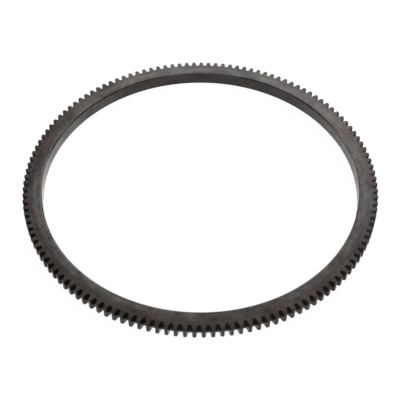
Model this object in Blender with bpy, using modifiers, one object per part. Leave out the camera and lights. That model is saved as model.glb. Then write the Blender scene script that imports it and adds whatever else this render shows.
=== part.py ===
# Flywheel ring gear: a one-piece steel ring with spur teeth round its outside.
# It lies flat on its lower face. The origin is at the centre of that face and
# the ring's axis is +Z. A tooth gap is centred on +X.

import math

import bmesh
import bpy

# Driving dimensions, in metres and radians
TOOTH_COUNT = 133
MODULE = 0.003
PRESSURE_ANGLE = math.radians(14.5)
ADDENDUM_FACTOR = 1.0          # tooth height above the pitch circle, in modules
DEDENDUM_FACTOR = 1.0          # tooth depth below the pitch circle, in modules
ROOT_FILLET_FACTOR = 0.28      # root fillet radius, in modules
TOOTH_THICKNESS = 0.0049       # measured round the pitch circle
FACE_WIDTH = 0.0154
RIM_DEPTH = 0.0156             # metal between the tooth roots and the bore
BORE_CHAMFER = 0.0015          # at 45 degrees, round the upper end of the bore
TIP_BREAK = 0.00025            # corner taken off along the edges of each tooth tip

# How finely the curved stretches are drawn
FLANK_SEGMENTS = 2
FILLET_SEGMENTS = 3
EDGE_ANGLE = math.radians(25.0)
LARGEST_FILLET = 0.9           # share of a fully round root that a fillet may take

# Sizes that follow from the driving dimensions
PITCH_RADIUS = 0.5 * MODULE * TOOTH_COUNT
BASE_RADIUS = PITCH_RADIUS * math.cos(PRESSURE_ANGLE)
TIP_RADIUS = PITCH_RADIUS + ADDENDUM_FACTOR * MODULE
ROOT_RADIUS = PITCH_RADIUS - DEDENDUM_FACTOR * MODULE
BORE_RADIUS = ROOT_RADIUS - RIM_DEPTH
TOOTH_PITCH = 2.0 * math.pi / TOOTH_COUNT

STEEL_COLOUR = (0.105, 0.094, 0.089, 1.0)
STEEL_METALLIC = 0.85
STEEL_ROUGHNESS = 0.45


def clear_scene():
    for obj in list(bpy.data.objects):
        bpy.data.objects.remove(obj, do_unlink=True)


def new_collection(name):
    collection = bpy.data.collections.new(name)
    bpy.context.scene.collection.children.link(collection)
    return collection


def steel_material():
    material = bpy.data.materials.new("blackened_steel")
    material.use_nodes = True
    shader = material.node_tree.nodes["Principled BSDF"]
    shader.inputs["Base Color"].default_value = STEEL_COLOUR
    shader.inputs["Metallic"].default_value = STEEL_METALLIC
    shader.inputs["Roughness"].default_value = STEEL_ROUGHNESS
    material.diffuse_color = STEEL_COLOUR
    return material


def involute(angle):
    return math.tan(angle) - angle


def flank_angle(radius):
    """Half of the angle that a tooth fills at this radius."""
    half_tooth_angle = 0.5 * TOOTH_THICKNESS / PITCH_RADIUS
    lean = math.acos(BASE_RADIUS / radius)
    return half_tooth_angle + involute(PRESSURE_ANGLE) - involute(lean)


def root_fillet_radius():
    """The fillet of the hob, or less where the gap is too narrow for it."""
    lean = math.acos(BASE_RADIUS / ROOT_RADIUS)
    half_gap = ROOT_RADIUS * (0.5 * TOOTH_PITCH - flank_angle(ROOT_RADIUS))
    full_round = half_gap / math.tan(0.25 * math.pi - 0.5 * lean)
    return min(ROOT_FILLET_FACTOR * MODULE, LARGEST_FILLET * full_round)


def polar(radius, angle):
    return (radius * math.cos(angle), radius * math.sin(angle))


def half_tooth():
    """One side of a tooth centred on +X, from its tip down to the root."""
    points = [polar(TIP_RADIUS, flank_angle(TIP_RADIUS) - TIP_BREAK / TIP_RADIUS)]

    # A fillet's centre lies on the flank's own involute, turned by fillet / base radius,
    # and its start on the flank is one fillet radius back along the line of contact.
    fillet = root_fillet_radius()
    centre_radius = ROOT_RADIUS + fillet
    lean = math.acos(BASE_RADIUS / centre_radius)
    centre_angle = flank_angle(centre_radius) + fillet / BASE_RADIUS
    start_lean = math.atan(math.tan(lean) - fillet / BASE_RADIUS)
    flank_top = TIP_RADIUS - TIP_BREAK
    flank_bottom = BASE_RADIUS / math.cos(start_lean)
    for step in range(FLANK_SEGMENTS + 1):
        radius = flank_top + (flank_bottom - flank_top) * step / FLANK_SEGMENTS
        points.append(polar(radius, flank_angle(radius)))

    centre_x, centre_y = polar(centre_radius, centre_angle)
    start_direction = centre_angle - 0.5 * math.pi - lean
    end_direction = centre_angle - math.pi
    for step in range(1, FILLET_SEGMENTS + 1):
        direction = start_direction + (end_direction - start_direction) * step / FILLET_SEGMENTS
        offset_x, offset_y = polar(fillet, direction)
        points.append((centre_x + offset_x, centre_y + offset_y))
    return points


def gear_outline():
    """The outline of all the teeth, running anticlockwise from the gap on +X."""
    left_side = half_tooth()
    tooth = [(x, -y) for x, y in reversed(left_side)] + left_side
    outline = []
    for index in range(TOOTH_COUNT):
        turn = (index + 0.5) * TOOTH_PITCH
        cosine = math.cos(turn)
        sine = math.sin(turn)
        for x, y in tooth:
            outline.append((x * cosine - y * sine, x * sine + y * cosine))
    return outline


def outline_solid(name, outline, thickness, centre_height, collection):
    """A flat outline given a thickness, as a closed mesh object."""
    curve = bpy.data.curves.new(name + "_outline", "CURVE")
    curve.dimensions = "2D"
    curve.fill_mode = "BOTH"
    curve.extrude = 0.5 * thickness
    spline = curve.splines.new("POLY")
    spline.points.add(len(outline) - 1)
    for point, (x, y) in zip(spline.points, outline):
        point.co = (x, y, 0.0, 1.0)
    spline.use_cyclic_u = True
    flat = bpy.data.objects.new(name + "_outline", curve)
    flat.location.z = centre_height
    collection.objects.link(flat)

    bpy.context.view_layer.update()
    depsgraph = bpy.context.evaluated_depsgraph_get()
    mesh = bpy.data.meshes.new_from_object(flat.evaluated_get(depsgraph))
    mesh.name = name
    welded = bmesh.new()
    welded.from_mesh(mesh)
    bmesh.ops.remove_doubles(welded, verts=welded.verts, dist=0.000001)
    welded.to_mesh(mesh)
    welded.free()
    solid = bpy.data.objects.new(name, mesh)
    solid.matrix_world = flat.matrix_world
    collection.objects.link(solid)
    bpy.data.objects.remove(flat, do_unlink=True)
    bpy.data.curves.remove(curve)
    return solid


def turned_blank(name, collection):
    """The ring as it comes off the lathe, one module larger than the finished teeth."""
    profile = [
        (TIP_RADIUS + MODULE, FACE_WIDTH),
        (TIP_RADIUS + MODULE, 0.0),
        (BORE_RADIUS, 0.0),
        (BORE_RADIUS, FACE_WIDTH - BORE_CHAMFER),
        (BORE_RADIUS + BORE_CHAMFER, FACE_WIDTH),
    ]
    mesh = bpy.data.meshes.new(name)
    drawn = bmesh.new()
    corners = [drawn.verts.new((radius, 0.0, height)) for radius, height in profile]
    for first, second in zip(corners, corners[1:] + corners[:1]):
        drawn.edges.new((first, second))
    drawn.to_mesh(mesh)
    drawn.free()
    blank = bpy.data.objects.new(name, mesh)
    collection.objects.link(blank)

    # One step for each tooth, so that the edges between facets fall in the gaps
    screw = blank.modifiers.new("Turn", "SCREW")
    screw.axis = "Z"
    screw.angle = 2.0 * math.pi
    screw.steps = TOOTH_COUNT
    screw.render_steps = TOOTH_COUNT
    screw.use_merge_vertices = True
    screw.merge_threshold = 0.000001
    return blank


def finish_mesh(obj, material):
    """Keep the evaluated mesh, smooth on its round surfaces and crisp at its edges."""
    bpy.context.view_layer.update()
    depsgraph = bpy.context.evaluated_depsgraph_get()
    mesh = bpy.data.meshes.new_from_object(obj.evaluated_get(depsgraph))
    mesh.name = obj.name
    obj.modifiers.clear()
    obj.data = mesh
    mesh.materials.clear()
    mesh.materials.append(material)
    mesh.shade_smooth()
    mesh.set_sharp_from_angle(angle=EDGE_ANGLE)


def build():
    clear_scene()
    parts = new_collection("flywheel_ring_gear")
    cutters = new_collection("flywheel_ring_gear_cutters")

    ring = turned_blank("ring_gear", parts)

    # The tooth outline stands out of the blank by half its width above and below
    teeth = outline_solid(
        "tooth_outline", gear_outline(), 2.0 * FACE_WIDTH, 0.5 * FACE_WIDTH, cutters
    )
    teeth.hide_render = True
    teeth.display_type = "WIRE"

    cut = ring.modifiers.new("Teeth", "BOOLEAN")
    cut.operation = "INTERSECT"
    cut.solver = "EXACT"
    cut.object = teeth
    finish_mesh(ring, steel_material())


build()
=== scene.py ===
import math
from types import SimpleNamespace

import bmesh
import bpy
from mathutils import Matrix, Vector


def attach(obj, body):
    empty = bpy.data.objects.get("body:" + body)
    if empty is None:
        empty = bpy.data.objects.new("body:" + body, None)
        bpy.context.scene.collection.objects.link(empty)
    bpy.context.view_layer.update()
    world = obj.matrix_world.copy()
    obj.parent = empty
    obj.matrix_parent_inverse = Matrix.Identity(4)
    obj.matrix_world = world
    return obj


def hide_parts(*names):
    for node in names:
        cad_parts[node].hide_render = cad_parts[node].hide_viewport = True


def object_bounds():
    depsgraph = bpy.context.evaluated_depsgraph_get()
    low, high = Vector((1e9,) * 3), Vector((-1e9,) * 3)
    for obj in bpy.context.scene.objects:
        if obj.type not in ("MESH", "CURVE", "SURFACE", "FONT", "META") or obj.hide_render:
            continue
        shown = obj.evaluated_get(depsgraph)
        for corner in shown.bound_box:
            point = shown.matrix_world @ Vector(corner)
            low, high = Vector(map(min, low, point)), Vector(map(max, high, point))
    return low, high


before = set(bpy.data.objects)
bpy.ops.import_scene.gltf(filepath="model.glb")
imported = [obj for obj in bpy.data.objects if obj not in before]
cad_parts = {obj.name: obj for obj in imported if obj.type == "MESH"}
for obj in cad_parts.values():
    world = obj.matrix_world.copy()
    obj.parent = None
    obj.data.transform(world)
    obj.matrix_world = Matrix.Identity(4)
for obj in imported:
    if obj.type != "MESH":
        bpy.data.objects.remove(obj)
cadLow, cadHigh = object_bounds()
print("frame loaded")

# the toothed ring, in metres; its form is that of the CAD ring that it stands for
ring = {
    "teeth": 133,
    "module": 0.003,
    "pressureAngle": math.radians(14.5),
    "addendum": 1.0,             # in modules
    "dedendum": 1.0,             # in modules
    "rootFillet": 0.28,          # in modules
    "toothThickness": 0.0049,    # round the pitch circle
    "rimDepth": 0.0156,          # from the tooth roots in to the bore
    "boreChamfer": 0.0015,       # round the upper end of the bore
    "tipBreak": 0.00025,         # corner taken off along both edges of a tooth's tip
    "leadIn": 0.0006,            # rounds the lower ends of the tips, where the pinion slides in
    "edgeRound": 0.00014,        # what deburring takes off each sharp edge
    "sharpAngle": math.radians(24),    # an edge that turns more than this is sharp
    "roundSteps": 2,             # facets across a rounded edge
    "flankSteps": 4,
    "filletSteps": 5,
    "boreSteps": 6,              # facets of the bore to each tooth
    "weld": 1e-6,                # points closer than this are one
    "near": 1e-5,                # margin for finding edges and faces by where they lie
}
ring["pitchRadius"] = 0.5 * ring["module"] * ring["teeth"]
ring["baseRadius"] = ring["pitchRadius"] * math.cos(ring["pressureAngle"])
ring["tipRadius"] = ring["pitchRadius"] + ring["addendum"] * ring["module"]
ring["rootRadius"] = ring["pitchRadius"] - ring["dedendum"] * ring["module"]
ring["boreRadius"] = ring["rootRadius"] - ring["rimDepth"]
ring["toothTurn"] = 2 * math.pi / ring["teeth"]
ring["height"] = cadHigh.z - cadLow.z


def polar(radius, turn):
    return Vector((radius * math.cos(turn), radius * math.sin(turn), 0))


def involute(lean):
    return math.tan(lean) - lean


def flankTurn(radius):                       # half of the angle that a tooth fills at this radius
    atPitch = 0.5 * ring["toothThickness"] / ring["pitchRadius"]
    lean = math.acos(ring["baseRadius"] / radius)
    return atPitch + involute(ring["pressureAngle"]) - involute(lean)


def toothSide():                             # from the middle of the tip down to the middle of the gap
    tip, root, base = ring["tipRadius"], ring["rootRadius"], ring["baseRadius"]
    tipTurn = flankTurn(tip) - ring["tipBreak"] / tip
    side = [polar(tip * math.cos(tipTurn), 0), polar(tip, tipTurn)]

    # the fillet's centre is on the flank's own involute, turned a little
    fillet = ring["rootFillet"] * ring["module"]
    centreRadius = root + fillet
    lean = math.acos(base / centreRadius)
    centreTurn = flankTurn(centreRadius) + fillet / base
    startLean = math.atan(math.tan(lean) - fillet / base)
    flankTop, flankEnd = tip - ring["tipBreak"], base / math.cos(startLean)
    for i in range(ring["flankSteps"] + 1):
        radius = flankTop + (flankEnd - flankTop) * i / ring["flankSteps"]
        side.append(polar(radius, flankTurn(radius)))

    centre = polar(centreRadius, centreTurn)
    first, last = centreTurn - math.pi / 2 - lean, centreTurn - math.pi
    for i in range(1, ring["filletSteps"] + 1):
        side.append(centre + polar(fillet, first + (last - first) * i / ring["filletSteps"]))
    return side + [polar(root, ring["toothTurn"] / 2)]


def edgesAt(bm, height, inner, outer):       # edges that lie at one height, between two radii
    def inside(vert):
        radius = math.hypot(vert.co.x, vert.co.y)
        return inner < radius < outer and abs(vert.co.z - height) < ring["weld"]
    return [e for e in bm.edges if all(inside(v) for v in e.verts)]


def bevelEdges(bm, edges, offset, segments):
    bmesh.ops.bevel(bm, geom=edges, offset=offset, offset_type="OFFSET", affect="EDGES",
                    segments=segments, profile=0.5, material=-1, clamp_overlap=True)


def buildRing():
    toothTurn, bore, near = ring["toothTurn"], ring["boreRadius"], ring["near"]
    side = toothSide()
    tooth = [Vector((p.x, -p.y, 0)) for p in reversed(side[1:])] + side
    arc = [polar(bore, toothTurn * i / ring["boreSteps"]) for i in range(ring["boreSteps"], -1, -1)]

    # one tooth's share of the ring is drawn flat, raised, and opened where its neighbours join on
    bm = bmesh.new()
    upright = Matrix.Rotation(toothTurn / 2, 3, "Z")
    flat = bm.faces.new([bm.verts.new(upright @ p) for p in tooth] + [bm.verts.new(p) for p in arc])
    raised = bmesh.ops.extrude_face_region(bm, geom=[flat])["geom"]
    upper = [v for v in raised if isinstance(v, bmesh.types.BMVert)]
    bmesh.ops.translate(bm, vec=(0, 0, ring["height"]), verts=upper)
    joins = []
    for face in bm.faces:
        middle = face.calc_center_median()
        turn = math.atan2(middle.y, middle.x)
        if abs(face.normal.z) < 0.5 and min(abs(turn), abs(turn - toothTurn)) < near:
            joins.append(face)
    bmesh.ops.delete(bm, geom=joins, context="FACES")

    copies = ring["teeth"] - 1
    bmesh.ops.spin(bm, geom=bm.verts[:] + bm.edges[:] + bm.faces[:], cent=(0, 0, 0), axis=(0, 0, 1),
                   angle=toothTurn * copies, steps=copies, use_duplicate=True)
    bmesh.ops.remove_doubles(bm, verts=bm.verts, dist=ring["weld"])
    bmesh.ops.recalc_face_normals(bm, faces=bm.faces)

    boreEnd = edgesAt(bm, ring["height"], bore - near, bore + near)
    bevelEdges(bm, boreEnd, ring["boreChamfer"], 1)
    tipEnds = edgesAt(bm, 0, ring["tipRadius"] - ring["tipBreak"] - near, ring["tipRadius"] + near)
    bevelEdges(bm, tipEnds, ring["leadIn"], ring["roundSteps"])
    sharp = [e for e in bm.edges if e.calc_face_angle(0) > ring["sharpAngle"]]
    bevelEdges(bm, sharp, ring["edgeRound"], ring["roundSteps"])

    mesh = bpy.data.meshes.new("ringGearSteel")
    bm.to_mesh(mesh)
    bm.free()
    mesh.shade_smooth()
    piece = bpy.data.objects.new("ringGearSteel", mesh)
    bpy.context.scene.collection.objects.link(piece)
    piece.modifiers.new("flatFaces", "WEIGHTED_NORMAL")      # keeps big faces flat beside round edges
    return piece


class Wire:                                  # a node's output socket that Python's operators work on
    def __init__(self, tree, socket):
        self.tree, self.socket = tree, socket

    def node(self, kind, settings=None, sockets=None, out=0):
        made = self.tree.nodes.new(kind)
        for name, value in (settings or {}).items():
            setattr(made, name, value)
        for name, value in (sockets or {}).items():
            if isinstance(value, Wire):
                self.tree.links.new(value.socket, made.inputs[name])
            else:
                made.inputs[name].default_value = value
        return Wire(self.tree, made.outputs[out] if len(made.outputs) else None)

    def maths(self, operation, *values):
        return self.node("ShaderNodeMath", {"operation": operation}, dict(enumerate(values)))

    def __add__(self, other):
        return self.maths("ADD", self, other)

    def __radd__(self, other):
        return self.maths("ADD", other, self)

    def __sub__(self, other):
        return self.maths("SUBTRACT", self, other)

    def __rsub__(self, other):
        return self.maths("SUBTRACT", other, self)

    def __mul__(self, other):
        return self.maths("MULTIPLY", self, other)

    def __rmul__(self, other):
        return self.maths("MULTIPLY", other, self)

    def __truediv__(self, other):
        return self.maths("DIVIDE", self, other)

    def __rtruediv__(self, other):
        return self.maths("DIVIDE", other, self)

    def __pow__(self, other):
        return self.maths("POWER", self, other)

    def __rpow__(self, other):
        return self.maths("POWER", other, self)

    def __abs__(self):
        return self.maths("ABSOLUTE", self)

    def rise(self, low, high):               # 0 below low, 1 above high, smooth between
        return self.node("ShaderNodeMapRange", {"interpolation_type": "SMOOTHSTEP"},
                         {"Value": self, "From Min": low, "From Max": high})

    def riseAt(self, middle, soft):
        return self.rise(middle - soft, middle + soft)

    def parts(self):
        split = self.node("ShaderNodeSeparateXYZ", None, {0: self}).socket.node
        return [Wire(self.tree, output) for output in split.outputs]

    def vector(self, x, y, z):
        return self.node("ShaderNodeCombineXYZ", None, {0: x, 1: y, 2: z})

    def blend(self, share, other):           # colours: self where share is 0, other where it is 1
        return self.blendOf(share, self, other)

    def blendOf(self, share, one, other, mode="MIX"):
        return self.node("ShaderNodeMix", {"data_type": "RGBA", "blend_type": mode},
                         {0: share, 6: one, 7: other}, out=2)

    def noise(self, scale, detail, rough):   # self is the place to look up
        return self.node("ShaderNodeTexNoise", {"noise_dimensions": "3D"},
                         {"Vector": self, "Scale": scale, "Detail": detail, "Roughness": rough})

    def rays(self, *kinds):                  # for each kind, 1 where the ray is of that kind
        seen = self.node("ShaderNodeLightPath").socket.node.outputs
        return [Wire(self.tree, seen["Is %s Ray" % kind]) for kind in kinds]


def startNodes(owner):                       # empties a material's or world's nodes, to begin from
    owner.use_nodes = True
    owner.node_tree.nodes.clear()
    return Wire(owner.node_tree, None)


steel = {                                    # what all of the ring's steel has in common
    "metallic": 0.6,
    "roughness": 0.40,
    "streakRoughness": 0.25,                 # how much the streaks and specks vary it
    "speckRoughness": 0.15,
    "relief": 0.25,                          # strength of the turning marks and specks
    "reliefDepth": 0.00006,
    "speckRelief": 0.5,                      # the specks' share, against the turning marks
    "skin": (0.0004, 0.0001),                # depths between which one surface's look turns into the next
    "grain": {                               # how much each noise makes it lighter and darker
        "mottle": 2.0,
        "blots": 1.1,
        "streaks": 0.6,
        "specks": 0.7,
    },
}

# noises drawn out along the turning: scale round the ring, scale across it, detail, shift
drawnNoises = {
    "clouds": (8, 95, 3, 0.0),
    "tones": (8, 95, 3, 20.0),
    "mottle": (7, 75, 6, 40.0),
    "streaks": (15, 480, 3, 60.0),
    "turning": (5, 2600, 3, 0.0),
}
drawnRoughness = 0.55

# noises that are the same in every direction: scale, detail
evenNoises = {
    "blots": (140, 4),
    "specks": (420, 3),
    "flecks": (520, 3),
}
evenRoughness = 0.6

# stretches of the ring: where the middle is, in degrees round from +X, and the cosines of the
# angles from there at which a stretch ends and within which it is whole
stretches = {
    "greyBack": (75, 0.5, 0.95),
    "rubbedFront": (222, 0.3, 0.9),
    "rubbedRight": (335, 0.3, 0.9),
    "lightFlecks": (222, 0.87, 0.97),
    "lightFringe": (175, 0.3, 0.9),
    "darkTeeth": (58, 0.8, 0.97),
    "lighterGaps": (-2, 0.8, 1.0),
    "shadedGaps": (222, 0.7, 0.95),
}

faceLook = {                                 # the upper and lower faces
    "plain": (0.078, 0.070, 0.0675, 1),
    "pink": (0.096, 0.070, 0.072, 1),        # clouds of tint left by heat and oil
    "green": (0.070, 0.075, 0.065, 1),
    "blue": (0.071, 0.073, 0.078, 1),
    "brown": (0.090, 0.070, 0.057, 1),
    "tint": 0.42,                            # how strongly the clouds show
    "cloudEdge": (0.40, 0.60),               # noise levels between which one tint turns into the next
    "grey": (0.0715, 0.0675, 0.0655, 1),     # less tinted towards the back
    "greyShare": 0.7,
    "toothBand": (0.063, 0.049, 0.045, 1),   # where the teeth were hardened
    "bandStart": (0.1895, 0.1935),           # radii over which that begins
    "bandShare": 0.55,
    "bandTones": 0.4,                        # how much more of it there is where the tones are high
    "bandToneEdge": (0.35, 0.60),
    "rimEdge": 0.1884,                       # radius where the cleaner band along the bore ends
    "rimWider": 0.0020,                      # how much wider it is at the left and right
    "rimRagged": 0.008,                      # how far the mottling moves its edge
    "rimSoft": 0.0010,
    "rimLighter": {                          # how much lighter it is, by stretch
        "rubbedFront": 0.36,
        "rubbedRight": 0.18,
    },
    "fleckLight": 1.8,                       # light flecks along the bore
    "fleckBand": (0.1832, 0.1856),
    "fleckEdge": (0.56, 0.63),
    "fringeLight": 0.50,                     # a lighter fringe along the bore
    "fringeBand": (0.1828, 0.1843),
}

toothLook = {
    "flank": (0.024, 0.021, 0.019, 1),       # cut flanks where they still shine
    "flankRoughness": 0.28,
    "flankStart": (0.0020, 0.0004),          # how far inside the tooth roots it begins
    "tip": (0.040, 0.036, 0.034, 1),
    "tipTop": (0.014, 0.012, 0.011, 1),      # darker towards the upper face
    "tipTopStart": (0.0085, 0.0135),         # heights over which that begins
    "backDarker": 0.20,                      # how much darker the face is at the back's teeth
    "rightDarker": 0.16,                     # and at those back right
    "rightStart": (0.1955, 0.1985),
    "tipEdgeDarker": 0.35,                   # along the tips
    "tipEdgeStart": (0.2008, 0.2022),
    "flankEdgeDarker": 0.35,                 # along the flanks
    "flankEdgeWhole": 0.1980,                # radius from where that is whole
    "flankEdge": (0.0001, 0.0011),           # how far in from the flank it ends
    "gapWidens": 0.29,                       # how fast half of a gap widens outwards
}

boreLook = {
    "wall": (0.033, 0.025, 0.023, 1),
    "olive": (0.029, 0.026, 0.023, 1),       # patches on it
    "patchEdge": (0.42, 0.58),               # noise levels between which they begin
    "wallRoughness": 0.15,
    "end": (0.0003, 0.0020),                 # how far outside its radius its look ends, past the chamfer
    "side": (0.088, 0.084, 0.080, 1),        # painted sheen: brighter at the left and right, where the wall catches the light
    "sheenEnds": (0.35, 0.95),                # shares of the way to the front or back
    "sheenRightLess": 0.35,
    "edge": (0.018, 0.015, 0.013, 1),        # painted shade on the chamfer and on the wall just below it
    "edgeDepth": (0.0028, 0.0020),           # how far below the upper face it ends
    "edgeBack": (0.052, 0.044, 0.040, 1),    # lighter painted shade between the sides and the very front and back
    "edgeBackStart": (0.5, 0.85),
    "edgeBackEnd": (0.90, 0.99),
    "edgeSide": (0.150, 0.142, 0.136, 1),    # painted light at the far left and right of it
    "chamferLightStart": (0.960, 0.992),         # shares of the way to the left or right
}

grimeAndShade = {                                    # old oil and soot that films the bore, and painted shade together with old oil in the gaps and just below the bore's chamfer
    "red": (0.042, 0.029, 0.026, 1),
    "black": (0.031, 0.028, 0.022, 1),
    "lighterFlecks": (0.075, 0.075, 0.080, 1),       # lighter flecks on the right side
    "lighterFleckEdge": (0.35, 0.60),
    "gapShade": (0.010, 0.008, 0.007, 1),        # painted shade in the gaps at the front left
    "gapShadeShare": 0.7,
    "roughness": 0.9,
    "shine": 0.0,
    "gapStart": 0.0039,                      # height above the lower face, at the tooth roots
    "gapSlope": 0.9,                         # how much higher it starts for each step out towards the tips
    "gapSoft": 0.0012,
    "film": 0.30,                            # share on the bore's right side
    "filmStart": (0.93, 1.0),
    "filmStreaks": 0.5,                      # share in streaks round the bore
    "streakEdge": (0.50, 0.75),
    "shadeStrip": 0.6,                            # share of painted shade just below the bore's chamfer, at the two sides
    "shadeStripStart": (0.0001, 0.0003),
    "shadeStripEnds": (0.70, 0.95),
}

stains = {                                   # colours of the marks on the upper face
    "pale": (0.150, 0.142, 0.138, 1),
    "rosy": (0.130, 0.098, 0.094, 1),
    "green": (0.085, 0.105, 0.070, 1),
    "blue": (0.085, 0.092, 0.105, 1),
    "rust": (0.095, 0.045, 0.032, 1),
    "dark": (0.030, 0.028, 0.026, 1),
    "earth": (0.105, 0.086, 0.060, 1),
    "plum": (0.058, 0.042, 0.041, 1),
    "umber": (0.046, 0.032, 0.026, 1),
    "clay": (0.090, 0.064, 0.057, 1),
    "ash": (0.067, 0.066, 0.067, 1),
}
stainEdge = {
    "ragged": 2.4,                           # how much the specks tear a mark's edge
    "fade": (0.35, 1.15),                    # shares of the half width over which it fades out
}

# the marks: stain, degrees round from +X, radius, half length around, half width across, strength
marks = (
    ("plum", 168.0, 0.1890, 0.0420, 0.0075, 0.75),
    ("earth", 121.0, 0.1912, 0.0330, 0.0095, 0.45),
    ("umber", 6.5, 0.1862, 0.0240, 0.0048, 0.42),
    ("clay", 22.0, 0.1890, 0.0300, 0.0060, 0.60),
    ("pale", 51.0, 0.1945, 0.0230, 0.0060, 0.38),
    ("dark", 67.0, 0.1942, 0.0200, 0.0040, 0.30),
    ("dark", 73.5, 0.1912, 0.0140, 0.0045, 0.40),
    ("dark", 82.5, 0.1862, 0.0260, 0.0055, 0.70),
    ("pale", 80.5, 0.1912, 0.0110, 0.0015, 0.30),
    ("pale", 97.0, 0.1895, 0.0240, 0.0070, 0.38),
    ("pale", 112.5, 0.1892, 0.0180, 0.0035, 0.42),
    ("dark", 127.0, 0.1848, 0.0240, 0.0030, 0.22),
    ("umber", 217.0, 0.1930, 0.0760, 0.0065, 0.28),
    ("pale", 217.0, 0.1872, 0.0200, 0.0030, 0.20),
    ("pale", 248.0, 0.1862, 0.0260, 0.0045, 0.18),
    ("umber", 277.0, 0.1890, 0.0280, 0.0060, 0.46),
    ("pale", 292.0, 0.1860, 0.0240, 0.0040, 0.20),
    ("dark", 308.0, 0.1860, 0.0260, 0.0040, 0.22),
    ("umber", 318.0, 0.1898, 0.0480, 0.0070, 0.32),
    ("ash", 346.0, 0.1925, 0.0460, 0.0085, 0.65),
    ("rosy", 186.0, 0.1885, 0.0160, 0.0012, 0.45),
    ("pale", 189.0, 0.1902, 0.0030, 0.0010, 0.60),
    ("dark", 192.2, 0.1888, 0.0014, 0.0009, 0.55),
    ("rosy", 195.5, 0.1893, 0.0042, 0.0013, 0.85),
    ("pale", 204.5, 0.1838, 0.0060, 0.0009, 0.55),
    ("pale", 221.0, 0.1835, 0.0040, 0.0008, 0.60),
    ("green", 246.0, 0.1880, 0.0045, 0.0018, 0.50),
    ("dark", 263.4, 0.1884, 0.0014, 0.0010, 0.50),
    ("green", 268.4, 0.1858, 0.0080, 0.0022, 0.55),
    ("pale", 255.0, 0.1866, 0.0050, 0.0005, 0.50),
    ("pale", 296.0, 0.1878, 0.0060, 0.0022, 0.40),
    ("green", 296.2, 0.1838, 0.0040, 0.0012, 0.45),
    ("earth", 313.5, 0.1862, 0.0110, 0.0040, 0.50),
    ("blue", 351.5, 0.1945, 0.0090, 0.0012, 0.60),
    ("dark", 353.6, 0.1962, 0.0060, 0.0005, 0.50),
    ("dark", 0.2, 0.1918, 0.0050, 0.0005, 0.60),
    ("dark", 2.6, 0.1871, 0.0020, 0.0010, 0.35),
    ("rust", 4.0, 0.1913, 0.0045, 0.0006, 0.45),
    ("rust", 9.9, 0.1862, 0.0080, 0.0006, 0.60),
    ("rosy", 12.5, 0.1912, 0.0140, 0.0010, 0.50),
    ("dark", 13.5, 0.1903, 0.0050, 0.0004, 0.45),
    ("rust", 18.6, 0.1918, 0.0050, 0.0004, 0.45),
    ("dark", 28.0, 0.1838, 0.0040, 0.0009, 0.40),
    ("rosy", 32.0, 0.1890, 0.0100, 0.0024, 0.30),
    ("rosy", 24.0, 0.1912, 0.0200, 0.0012, 0.35),
    ("rust", 31.8, 0.1934, 0.0040, 0.0006, 0.40),
    ("rust", 15.2, 0.1838, 0.0050, 0.0006, 0.50),
    ("blue", 40.5, 0.1938, 0.0060, 0.0028, 0.40),
    ("green", 64.6, 0.1890, 0.0050, 0.0035, 0.40),
    ("blue", 68.5, 0.1890, 0.0060, 0.0035, 0.40),
    ("rosy", 87.2, 0.1862, 0.0045, 0.0020, 0.28),
    ("green", 95.0, 0.1892, 0.0070, 0.0030, 0.35),
    ("pale", 102.0, 0.1850, 0.0030, 0.0016, 0.28),
    ("pale", 112.0, 0.1898, 0.0022, 0.0010, 0.32),
    ("dark", 119.6, 0.1864, 0.0035, 0.0010, 0.35),
    ("pale", 121.0, 0.1902, 0.0035, 0.0012, 0.40),
    ("earth", 150.5, 0.1952, 0.0060, 0.0016, 0.40),
)


def inFrom(value, limit, depths):            # 0 up to the first depth inside a limit, 1 from the second
    return value.rise(limit - depths[0], limit - depths[1])


def outFrom(value, limit, reach):            # the same, outside it
    return value.rise(limit + reach[0], limit + reach[1])


def lookUp(start):                           # where a point of the ring lies, and what is there
    at = SimpleNamespace()
    place = start.node("ShaderNodeTexCoord", out="Object")
    at.x, at.y, at.z = place.parts()
    at.radius = (at.x * at.x + at.y * at.y) ** 0.5
    at.alongX, at.alongY = at.x / at.radius, at.y / at.radius

    # which surface it is on; onEdge is the bore's chamfer and the wall just below it, where shade is painted
    middle, skin = ring["height"] / 2, steel["skin"]
    at.onFace = inFrom(abs(at.z - middle), middle, skin)
    at.onTop = inFrom(at.z, ring["height"], skin)
    at.onBore = (1 - at.onFace) * (1 - outFrom(at.radius, ring["boreRadius"], boreLook["end"]))
    at.onEdge = at.onBore * inFrom(at.z, ring["height"], boreLook["edgeDepth"])
    at.onTip = (1 - at.onFace) * inFrom(at.radius, ring["tipRadius"], skin)
    outside = inFrom(at.radius, ring["rootRadius"], toothLook["flankStart"])
    at.onFlank = (1 - at.onFace) * outside * (1 - at.onTip)
    at.edgeSides = abs(at.alongX).rise(*boreLook["chamferLightStart"])

    across = at.radius + at.z                # runs on without a step from the faces into the bore
    at.noise = {}
    for name, (scaleRound, scaleAcross, detail, shift) in drawnNoises.items():
        drawn = start.vector(at.alongX * scaleRound + shift, at.alongY * scaleRound, across * scaleAcross)
        at.noise[name] = drawn.noise(1.0, detail, drawnRoughness)
    for name, (scale, detail) in evenNoises.items():
        at.noise[name] = place.noise(scale, detail, evenRoughness)
    return at


def towards(at, degrees):                    # 1 on the side that lies this way from the axis, -1 on the other
    turn = math.radians(degrees)
    return at.alongX * math.cos(turn) + at.alongY * math.sin(turn)


def onStretch(at, name):
    degrees, ends, whole = stretches[name]
    return towards(at, degrees).rise(ends, whole)


def addMarks(colour, at):                    # soft dabs of stain on the upper face
    torn = stainEdge["ragged"] * (at.noise["specks"] - 0.5)
    for stain, degrees, radius, length, width, strength in marks:
        outward = (at.radius - radius) / width
        chord = 2 - 2 * towards(at, degrees)                 # squared, on a circle of radius 1
        spread = (outward * outward + chord * (radius / length) ** 2) ** 0.5
        dab = (1 - (spread + torn).rise(*stainEdge["fade"])) * at.onTop * strength
        colour = colour.blend(dab, stains[stain])
    return colour


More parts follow.
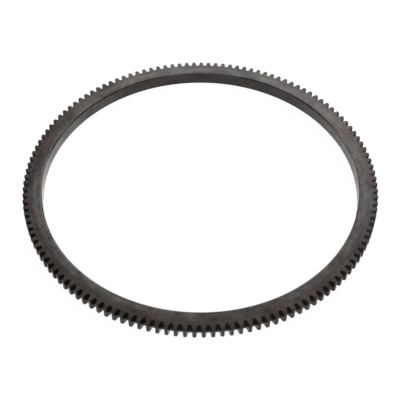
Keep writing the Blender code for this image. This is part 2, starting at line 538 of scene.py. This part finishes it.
def faceColour(start, at):                   # tinted clouds over grey, browner towards the teeth
    clouds, tones = at.noise["clouds"], at.noise["tones"]
    warm = start.blendOf(tones.rise(*faceLook["cloudEdge"]), faceLook["brown"], faceLook["pink"])
    cool = start.blendOf(tones.rise(*faceLook["cloudEdge"]), faceLook["green"], faceLook["blue"])
    tinted = start.blendOf(clouds.rise(*faceLook["cloudEdge"]), warm, cool)
    colour = start.blendOf(faceLook["tint"], faceLook["plain"], tinted)
    band = faceLook["bandShare"] + faceLook["bandTones"] * tones.rise(*faceLook["bandToneEdge"])
    colour = colour.blend(at.radius.rise(*faceLook["bandStart"]) * band, faceLook["toothBand"])
    return colour.blend(faceLook["greyShare"] * onStretch(at, "greyBack"), faceLook["grey"])


# the wall's own colour, under a painted sheen at the left and right that is weaker at the right
def boreColour(start, at):
    sides = (1 - abs(at.alongY).rise(*boreLook["sheenEnds"])) * (1 - boreLook["sheenRightLess"] * at.alongX)
    wall = start.blendOf(at.noise["clouds"].rise(*boreLook["patchEdge"]), boreLook["wall"], boreLook["olive"])
    return wall.blend(sides, boreLook["side"])


# painted shade on the bore's chamfer, with painted light at its far left and right
def chamferShading(start, at):
    towardsY = abs(at.alongY)
    back = towardsY.rise(*boreLook["edgeBackStart"]) * (1 - towardsY.rise(*boreLook["edgeBackEnd"]))
    edge = start.blendOf(back, boreLook["edge"], boreLook["edgeBack"])
    return edge.blend(at.edgeSides, boreLook["edgeSide"])


def toFlank(at):                             # 1 along the flanks and 0 from a little way inside each tooth
    pitch = ring["toothTurn"] * ring["pitchRadius"]
    turn = at.x.maths("ARCTAN2", at.y, at.x) / ring["toothTurn"]
    fromGap = abs(turn - turn.maths("ROUND", turn)) * pitch
    halfGap = 0.5 * (pitch - ring["toothThickness"])
    inside = fromGap - halfGap - toothLook["gapWidens"] * (at.radius - ring["pitchRadius"])
    return 1 - inside.rise(*toothLook["flankEdge"])


def rimLight(at):                            # how much lighter it is along the bore
    ragged = faceLook["rimRagged"] * (at.noise["mottle"] - 0.5)
    rimRadius = at.radius - faceLook["rimWider"] * at.alongX * at.alongX + ragged
    rim = (1 - rimRadius.riseAt(faceLook["rimEdge"], faceLook["rimSoft"])) * at.onFace
    flecks = faceLook["fleckLight"] * at.noise["flecks"].rise(*faceLook["fleckEdge"])
    flecked = (1 - at.radius.rise(*faceLook["fleckBand"])) * at.onTop * onStretch(at, "lightFlecks")
    fringe = (1 - at.radius.rise(*faceLook["fringeBand"])) * at.onTop * onStretch(at, "lightFringe")
    light = flecked * flecks + faceLook["fringeLight"] * fringe
    for name, strength in faceLook["rimLighter"].items():
        light = light + strength * rim * onStretch(at, name)
    return light


def toothShade(at):                          # how much darker it is at some of the teeth
    back = onStretch(at, "greyBack") * at.radius.rise(*faceLook["bandStart"])
    right = onStretch(at, "darkTeeth") * at.radius.rise(*toothLook["rightStart"])
    return toothLook["backDarker"] * back + toothLook["rightDarker"] * right


def toothOutline(at):                        # what is left of the light along the edges of the teeth
    alongTips = at.onFace * at.radius.rise(*toothLook["tipEdgeStart"])
    alongFlanks = at.onFace * at.radius.rise(ring["rootRadius"], toothLook["flankEdgeWhole"]) * toFlank(at)
    return (1 - toothLook["tipEdgeDarker"] * alongTips) * (1 - toothLook["flankEdgeDarker"] * alongFlanks)


def steelShader(start, at):
    tip = start.blendOf(at.z.rise(*toothLook["tipTopStart"]), toothLook["tip"], toothLook["tipTop"])
    colour = faceColour(start, at).blend(at.onBore, boreColour(start, at))
    colour = colour.blend(at.onEdge, chamferShading(start, at))
    colour = colour.blend(at.onFlank, toothLook["flank"]).blend(at.onTip, tip)
    colour = addMarks(colour, at)

    grain = 1
    for name, strength in steel["grain"].items():
        grain = grain + strength * (at.noise[name] - 0.5)
    shade = (1 + rimLight(at) - toothShade(at)) * toothOutline(at) * grain
    colour = start.blendOf(1.0, colour, start.vector(shade, shade, shade), "MULTIPLY")

    streaks, specks = at.noise["streaks"], at.noise["specks"]
    roughness = steel["roughness"] + steel["streakRoughness"] * (streaks - 0.5)
    roughness = roughness + steel["speckRoughness"] * (specks - 0.5)
    roughness = roughness + (toothLook["flankRoughness"] - steel["roughness"]) * at.onFlank
    roughness = roughness + (boreLook["wallRoughness"] - steel["roughness"]) * at.onBore
    metallic = steel["metallic"] + (1 - steel["metallic"]) * (at.onFlank + at.onTip)
    height = at.noise["turning"] + steel["speckRelief"] * specks
    relief = start.node("ShaderNodeBump", None, {
        "Strength": steel["relief"], "Distance": steel["reliefDepth"], "Height": height})
    return start.node("ShaderNodeBsdfPrincipled", None, {
        "Base Color": colour, "Metallic": metallic, "Roughness": roughness, "Normal": relief})


def grimeAndShadeShader(start, at):
    oily = start.blendOf(at.noise["clouds"].rise(*boreLook["patchEdge"]), grimeAndShade["black"], grimeAndShade["red"])
    lighterFlecks = onStretch(at, "lighterGaps") * at.noise["flecks"].rise(*grimeAndShade["lighterFleckEdge"])
    oily = oily.blend(lighterFlecks, grimeAndShade["lighterFlecks"])
    oily = oily.blend(grimeAndShade["gapShadeShare"] * onStretch(at, "shadedGaps"), grimeAndShade["gapShade"])
    return start.node("ShaderNodeBsdfPrincipled", None, {
        "Base Color": oily, "Roughness": grimeAndShade["roughness"], "Specular IOR Level": grimeAndShade["shine"]})


def grimeAndShadeShare(at):                          # how much of the steel the grime and the painted shade hide
    heightInGap = at.z - grimeAndShade["gapSlope"] * (at.radius - ring["rootRadius"])
    # old oil and painted shade in the gaps, above a height that rises towards the tips
    inGaps = at.onFlank * heightInGap.riseAt(grimeAndShade["gapStart"], grimeAndShade["gapSoft"])
    film = grimeAndShade["film"] * at.alongX.rise(*grimeAndShade["filmStart"])
    film = film + grimeAndShade["filmStreaks"] * at.noise["streaks"].rise(*grimeAndShade["streakEdge"])
    onWall = at.onBore * (1 - at.onEdge)
    # painted shade on the wall just below the chamfer
    onShadeStrip = at.onEdge * (1 - outFrom(at.radius, ring["boreRadius"], grimeAndShade["shadeStripStart"]))
    shadeStrip = onShadeStrip * (1 - abs(at.alongY).rise(*grimeAndShade["shadeStripEnds"])) * (1 - at.edgeSides)
    return inGaps + onWall * film + grimeAndShade["shadeStrip"] * shadeStrip


def steelMaterial():
    material = bpy.data.materials.new("blackenedSteel")
    start = startNodes(material)
    at = lookUp(start)
    surface = start.node("ShaderNodeMixShader", None, {
        0: grimeAndShadeShare(at), 1: steelShader(start, at), 2: grimeAndShadeShader(start, at)})
    start.node("ShaderNodeOutputMaterial", None, {"Surface": surface})
    return material


# the photograph's viewpoint, found from where its teeth and edges lie
viewpoint = {
    "distance": 0.9978,                      # from the middle of the ring's lower face
    "bearing": math.radians(0.932),          # round the axis from the front, anticlockwise
    "elevation": math.radians(48.643),
    "lens": 77.31,
    "lookDown": math.radians(0.857),         # how far below the origin the camera looks
    "lookLeft": math.radians(0.029),
    "roll": math.radians(0.087),
}


def buildCamera():
    data = bpy.data.cameras.new("photoCamera")
    data.lens = viewpoint["lens"]
    camera = bpy.data.objects.new("photoCamera", data)
    bpy.context.scene.collection.objects.link(camera)
    tilt = math.pi / 2 - viewpoint["elevation"]
    swing = Matrix.Rotation(viewpoint["bearing"], 4, "Z")
    stand = swing @ Matrix.Rotation(tilt, 4, "X") @ Matrix.Translation((0, 0, viewpoint["distance"]))
    turned = Matrix.Rotation(viewpoint["bearing"] + viewpoint["lookLeft"], 4, "Z")
    tipped = Matrix.Rotation(tilt - viewpoint["lookDown"], 4, "X")
    rolled = Matrix.Rotation(viewpoint["roll"], 4, "Z")
    camera.matrix_world = Matrix.Translation(stand.to_translation()) @ turned @ tipped @ rolled
    bpy.context.scene.camera = camera


studio = {
    "floorSize": 6.0,
    "floorDrop": 0.00005,                    # below the ring, so that the two don't touch
    "floorColour": (0.86, 0.86, 0.86, 1),
    "paintedContactShadow": (0.05, 0.05, 0.05, 1),     # painted contact shadow: the dark line where the ring meets the floor, and the floor under the ring
    "contact": 0.0004,                       # how far that line shows inside the bore
    "contactSoft": 0.0001,
    "paintedShadowEnds": 0.0002,                     # how far inside the tooth roots the painted shadow ends
    "floorWhite": 1.06,                      # how brightly the floor's white shines
    "whiteByEye": 0.88,                      # its share; the rest is the lit floor with the ring's shadow
    "whiteByGloss": 0.95,                    # the same in reflections on the steel
    "airLight": (0.30, 0.30, 0.30, 1),       # what the world lights the ring with
    "airSeen": (1, 1, 1, 1),                 # and how it looks past the floor
}

# name, place, size, watts
lamps = (
    ("rightSoftbox", (1.90, -0.16, 0.58), (1.6, 0.9), 25),
    ("leftSoftbox", (-1.90, 0.00, 0.58), (2.0, 0.9), 27),
    ("backSoftbox", (0.50, 1.70, 0.94), (2.0, 0.8), 21.5),
    ("frontFill", (0.00, -1.30, 1.55), (1.4, 0.8), 7),
)


def floorMaterial():
    material = bpy.data.materials.new("paleFloor")
    start = startNodes(material)
    x, y = start.node("ShaderNodeTexCoord", out="Object").parts()[:2]
    radius = (x * x + y * y) ** 0.5
    # painted contact shadow: the floor turns dark and loses its glow under the ring and in a thin line just
    # inside the bore
    edge = ring["boreRadius"] - studio["contact"] * (y / radius) ** 2
    beyond = radius.rise(ring["rootRadius"] - studio["paintedShadowEnds"], ring["rootRadius"])
    paintedShadow = radius.riseAt(edge, studio["contactSoft"]) * (1 - beyond)
    matt = start.node("ShaderNodeBsdfDiffuse", None, {
        "Color": start.blendOf(paintedShadow, studio["floorColour"], studio["paintedContactShadow"])})
    glow = start.node("ShaderNodeEmission", None, {"Strength": studio["floorWhite"]})
    byEye, byGloss, through = start.rays("Camera", "Glossy", "Transmission")
    white = studio["whiteByEye"] * (byEye + through) + studio["whiteByGloss"] * byGloss
    surface = start.node("ShaderNodeMixShader", None, {0: white * (1 - paintedShadow), 1: matt, 2: glow})
    start.node("ShaderNodeOutputMaterial", None, {"Surface": surface})
    return material


def buildFloor():
    bm = bmesh.new()
    bmesh.ops.create_grid(bm, x_segments=1, y_segments=1, size=studio["floorSize"] / 2)
    bmesh.ops.translate(bm, vec=(0, 0, cadLow.z - studio["floorDrop"]), verts=bm.verts)
    mesh = bpy.data.meshes.new("paleFloor")
    bm.to_mesh(mesh)
    bm.free()
    mesh.materials.append(floorMaterial())
    floor = bpy.data.objects.new("paleFloor", mesh)
    bpy.context.scene.collection.objects.link(floor)


def buildAir():                              # dim as a light, white to the camera
    world = bpy.data.worlds.new("studioAir")
    bpy.context.scene.world = world
    start = startNodes(world)
    light = start.node("ShaderNodeBackground", None, {"Color": studio["airLight"]})
    white = start.node("ShaderNodeBackground", None, {"Color": studio["airSeen"]})
    byEye = start.rays("Camera")[0]
    shown = start.node("ShaderNodeMixShader", None, {0: byEye, 1: light, 2: white})
    start.node("ShaderNodeOutputWorld", None, {"Surface": shown})


def buildLamps():
    for name, place, (width, height), watts in lamps:
        data = bpy.data.lights.new(name, "AREA")
        data.shape = "RECTANGLE"
        data.size, data.size_y = width, height
        data.energy = watts
        lamp = bpy.data.objects.new(name, data)
        bpy.context.scene.collection.objects.link(lamp)
        lamp.location = place
        lamp.rotation_euler = (-Vector(place)).to_track_quat("-Z", "Y").to_euler()
        lamp.visible_camera = False


bpy.context.scene.view_settings.view_transform = "Standard"
buildCamera()
buildFloor()
buildAir()
buildLamps()
print("camera, floor and lamps made")

ringPiece = buildRing()
ringPiece.data.materials.append(steelMaterial())
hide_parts("ring_gear")
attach(ringPiece, "root")
print("ring made,", len(ringPiece.data.polygons), "faces")
